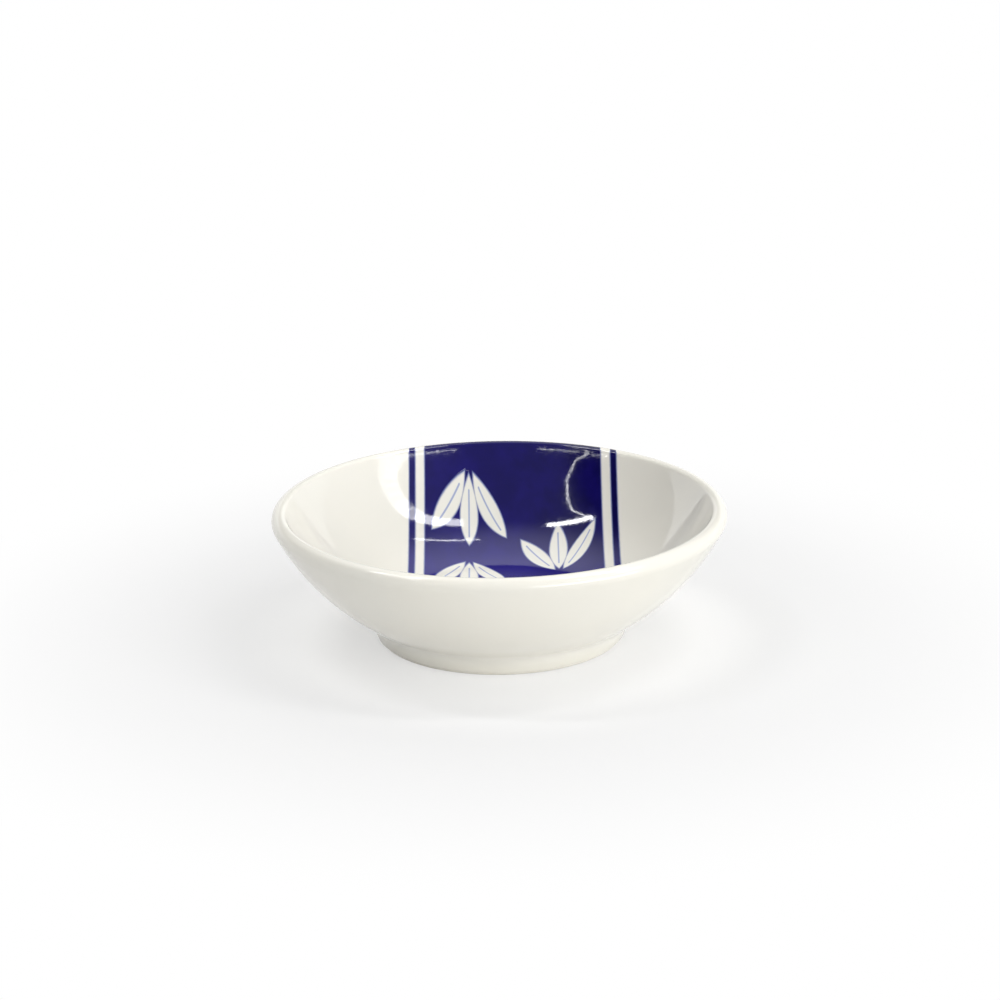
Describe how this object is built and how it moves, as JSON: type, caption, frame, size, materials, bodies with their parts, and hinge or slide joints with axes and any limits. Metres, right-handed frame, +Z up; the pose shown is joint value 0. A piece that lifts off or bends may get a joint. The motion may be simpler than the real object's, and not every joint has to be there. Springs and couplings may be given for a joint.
{
  "type": "soy sauce dish",
  "caption": "Small round footed porcelain dish for soy sauce or condiments, with a rounded lip, a luted foot ring, a clear glaze and a blue band printed across the basin.",
  "frame": {"origin": "centre of the foot ring's standing edge, on the surface that the dish stands on", "axes": "+Z up through the mouth; the blue band runs along Y; the picture looks along +Y"},
  "size_m": [0.093, 0.093, 0.0275],
  "materials": {
    "porcelain_clay": "matte",
    "clear_glaze": "glossy",
    "cobalt_blue": "glossy"
  },
  "bodies": {
    "root": {"porcelain_bowl": "porcelain_clay", "foot_ring": "porcelain_clay", "glaze_coat": "clear_glaze", "foot_well_glaze": "clear_glaze", "blue_band": "cobalt_blue", "blue_border_lines": "cobalt_blue"}
  },
  "joints": []
}
